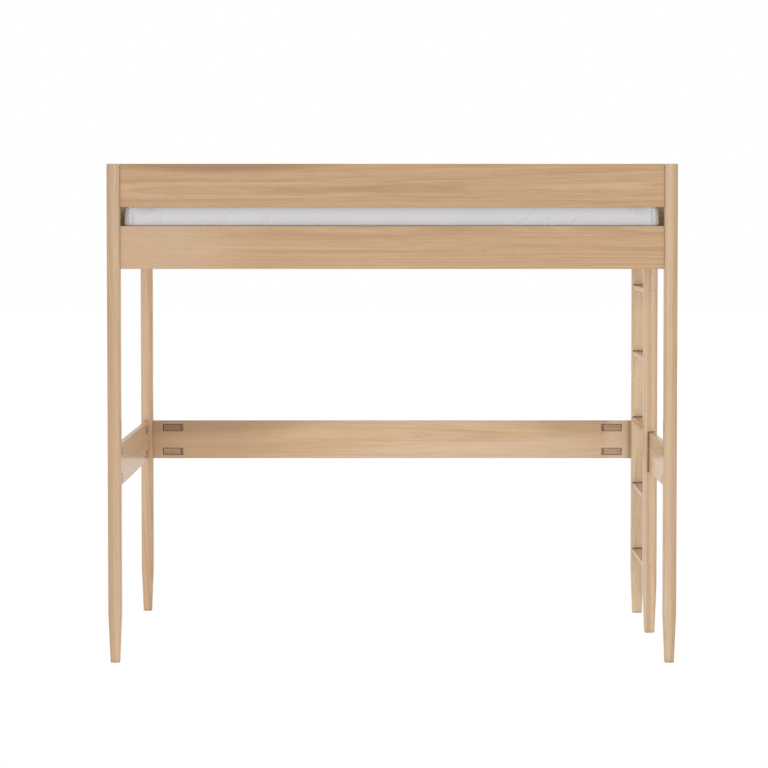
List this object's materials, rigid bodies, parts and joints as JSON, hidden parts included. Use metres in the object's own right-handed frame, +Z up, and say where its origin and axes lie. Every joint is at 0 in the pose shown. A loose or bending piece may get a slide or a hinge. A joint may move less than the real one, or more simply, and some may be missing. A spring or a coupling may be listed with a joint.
{
  "type": "loft bed",
  "caption": "High wooden loft bed on tapered posts, with guard rails, slatted base, mattress and an upright ladder at one end, open below.",
  "frame": {"origin": "on the floor, under the middle of the bed's overall box", "axes": "+X along the bed towards the ladder end, +Y from the front to the back, +Z up"},
  "size_m": [2.02, 1.075, 1.774],
  "materials": {
    "lacquered_oak": "satin",
    "slat_wood": "matte",
    "dowel_wood": "matte",
    "cover_wood": "satin",
    "webbing": "matte",
    "mattress_cover": "matte",
    "nylon": "matte",
    "black_steel": "satin",
    "nickel_steel": "satin",
    "zinc_steel": "satin"
  },
  "bodies": {
    "frame": {"front_left_post": "lacquered_oak", "front_right_post": "lacquered_oak", "back_left_post": "lacquered_oak", "back_right_post": "lacquered_oak", "front_guard_rail": "lacquered_oak", "back_guard_rail": "lacquered_oak", "front_side_rail": "lacquered_oak", "back_side_rail": "lacquered_oak", "left_end_panel": "lacquered_oak", "right_end_panel": "lacquered_oak", "back_stretcher": "lacquered_oak", "left_end_stretcher": "lacquered_oak", "right_end_stretcher": "lacquered_oak", "ladder_front_stile": "lacquered_oak", "ladder_back_stile": "lacquered_oak", "ladder_entry_rail": "lacquered_oak", "ladder_rung_1": "lacquered_oak", "ladder_rung_2": "lacquered_oak", "ladder_rung_3": "lacquered_oak", "ladder_rung_4": "lacquered_oak", "ladder_rung_5": "lacquered_oak", "front_slat_ledge": "slat_wood", "back_slat_ledge": "slat_wood", "slat_01": "slat_wood", "slat_02": "slat_wood", "slat_03": "slat_wood", "slat_04": "slat_wood", "slat_05": "slat_wood", "slat_06": "slat_wood", "slat_07": "slat_wood", "slat_08": "slat_wood", "slat_09": "slat_wood", "slat_10": "slat_wood", "slat_11": "slat_wood", "slat_12": "slat_wood", "slat_13": "slat_wood", "slat_14": "slat_wood", "slat_webbing_front": "webbing", "slat_webbing_back": "webbing", "foot_glides": "nylon", "rail_bolts": "black_steel", "ladder_bolts": "nickel_steel", "rung_bolts": "nickel_steel", "threaded_inserts": "zinc_steel", "ledge_screws": "zinc_steel", "slat_screws": "zinc_steel", "rung_dowels": "dowel_wood", "pocket_covers": "cover_wood"},
    "mattress": {"mattress": "mattress_cover"}
  },
  "joints": [
    {"name": "mattress_lift", "type": "slide", "parent": "frame", "child": "mattress", "axis": [0, 0, 1], "range_m": [0, 0.45]}
  ]
}
